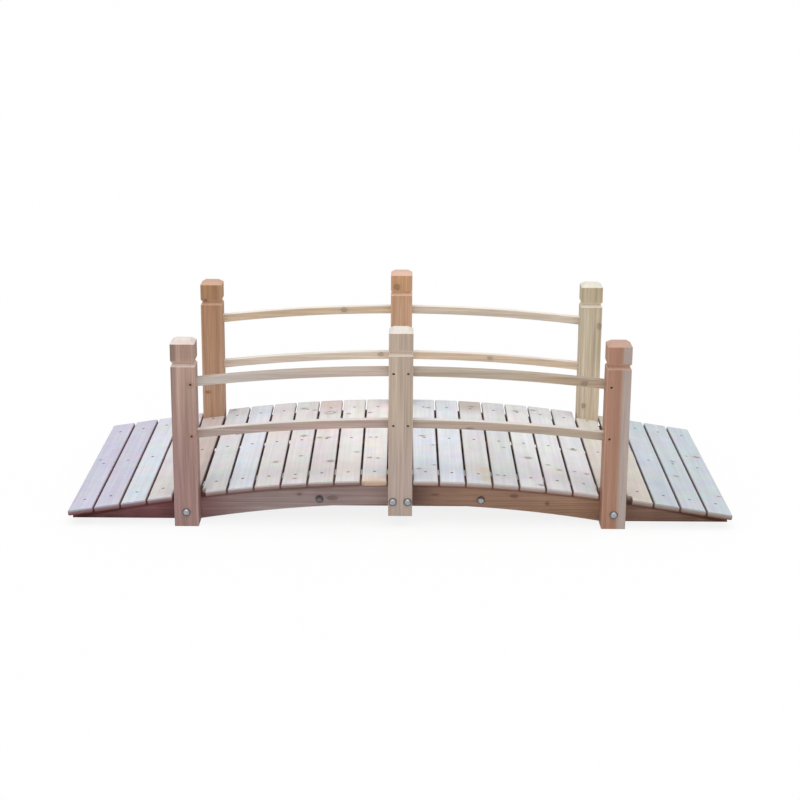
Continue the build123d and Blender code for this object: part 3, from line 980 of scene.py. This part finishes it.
# Deck screws
# Countersunk cross-head screws, three to a board over the stringers, driven a
# hair below the surface and gone dark in the weather.
SCREW_TOP_RADIUS = 0.0037
SCREW_FOOT_RADIUS = 0.0027
SCREW_SUNK = 0.00025
SCREW_HEAD_DEPTH = 0.0009
SCREW_RIM = 0.0001
SCREW_SIDES = 16
CROSS_RADIUS = 0.0021
CROSS_WAIST = 0.4
CROSS_DEPTH = 0.0006
CROSS_FOOT = 0.6
CROSS_ARM_SHARE = 0.2
DARK_STEEL = dull_steel("dark_steel", (0.20, 0.175, 0.165), 0.45, 0.55)


def off_quarter(point):
    """How far a point's bearing is from the nearest quarter turn, in quarter turns."""
    turn = math.atan2(point.y, point.x) / (math.pi / 2)
    return abs(turn - round(turn))


def cross_recess(piece, radius):
    """Sinks a four-armed driver recess into the face that looks up."""
    pick_faces(piece, lambda middle, normal: normal.z > FLAT)
    bpy.ops.mesh.inset(thickness=radius - CROSS_RADIUS, depth=0.0)
    bpy.ops.object.mode_set(mode="OBJECT")
    rim = [vertex for vertex in piece.data.vertices if vertex.select]
    between_arms = [vertex.index for vertex in rim if off_quarter(vertex.co) > CROSS_ARM_SHARE]
    bpy.ops.object.mode_set(mode="EDIT")
    bpy.ops.mesh.select_mode(type="VERT")
    bpy.ops.mesh.select_all(action="DESELECT")
    bpy.ops.object.mode_set(mode="OBJECT")
    for index in between_arms:
        piece.data.vertices[index].select = True
    bpy.ops.object.mode_set(mode="EDIT")
    bpy.ops.transform.resize(value=(CROSS_WAIST, CROSS_WAIST, 1))
    pick_faces(piece, lambda middle, normal: normal.z > FLAT and middle.xy.length < CROSS_DEPTH)
    bpy.ops.mesh.extrude_region_move(TRANSFORM_OT_translate={"value": (0, 0, -CROSS_DEPTH)})
    bpy.ops.transform.resize(value=(CROSS_FOOT, CROSS_FOOT, 1))
    bpy.ops.object.mode_set(mode="OBJECT")


screw_foot = -SCREW_SUNK - SCREW_HEAD_DEPTH
deck_screw = bar(SCREW_FOOT_RADIUS, screw_foot - SCREW_RIM, screw_foot + SCREW_RIM, SCREW_SIDES)
pick_faces(deck_screw, lambda middle, normal: normal.z > FLAT)
draw_out(SCREW_FOOT_RADIUS, [(SCREW_HEAD_DEPTH - SCREW_RIM, SCREW_TOP_RADIUS)])
cross_recess(deck_screw, SCREW_TOP_RADIUS)
deck_screw.data.materials.append(DARK_STEEL)
screw_rows = {row: middle_of(f"{row}_left_stringer").y for row in ("front", "middle", "back")}
for number in range(1, len(BOARD_FINISHES) + 1):
    node = f"deck_board_{number:02d}"
    spot = middle_of(node)
    top, normal = board_top(node)
    raised = spot + normal * (top - spot).dot(normal)
    lean = math.atan2(normal.x, normal.z)
    for row, y in screw_rows.items():
        twist = Matrix.Rotation(lean, 4, "Y") @ Matrix.Rotation(chance.uniform(0, math.pi / 2), 4, "Z")
        set_out(deck_screw, f"{row}_screw_{number:02d}", (raised.x, y, raised.z), twist.to_euler())
bpy.data.objects.remove(deck_screw)


# Rail screws
# One screw goes through each post's outer face into each rail end. Its flat head
# lies at the bottom of a drilled pocket and shows as a dark spot.
POCKET_FROM_SIDE = 0.011
POCKET_DEPTH = 0.010
PAN_RADIUS = 0.0029
PAN_HEIGHT = 0.0062
PAN_EASE = 0.0006
RAIL_RADIUS = 4.0
RAIL_HALF_HEIGHT = 0.010

rail_screw = bar(PAN_RADIUS, -POCKET_DEPTH, PAN_HEIGHT - PAN_EASE - POCKET_DEPTH, SCREW_SIDES)
pick_faces(rail_screw, lambda middle, normal: normal.z > FLAT)
draw_out(PAN_RADIUS, [(PAN_EASE, PAN_RADIUS - PAN_EASE)])
cross_recess(rail_screw, PAN_RADIUS - PAN_EASE)
rail_screw.data.materials.append(DARK_STEEL)
for side, sign, turn in (("front", -1, HEAD_FORWARD), ("back", 1, HEAD_BACK)):
    post_face = max(abs(edge[1]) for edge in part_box(f"{side}_left_post"))
    screw_places = {
        "corner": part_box(f"{side}_right_post")[0][0] + POCKET_FROM_SIDE,
        "middle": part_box(f"{side}_middle_post")[1][0] - POCKET_FROM_SIDE,
    }
    for level in ("lower", "upper"):
        for hand, way in (("left", -1), ("right", 1)):
            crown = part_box(f"{side}_{hand}_{level}_rail")[1][2] - RAIL_HALF_HEIGHT
            for end, x in screw_places.items():
                z = crown - RAIL_RADIUS + math.sqrt(RAIL_RADIUS**2 - x**2)
                name = f"{side}_{hand}_{level}_{end}_screw"
                set_out(rail_screw, name, (way * x, sign * post_face, z), turn)
bpy.data.objects.remove(rail_screw)
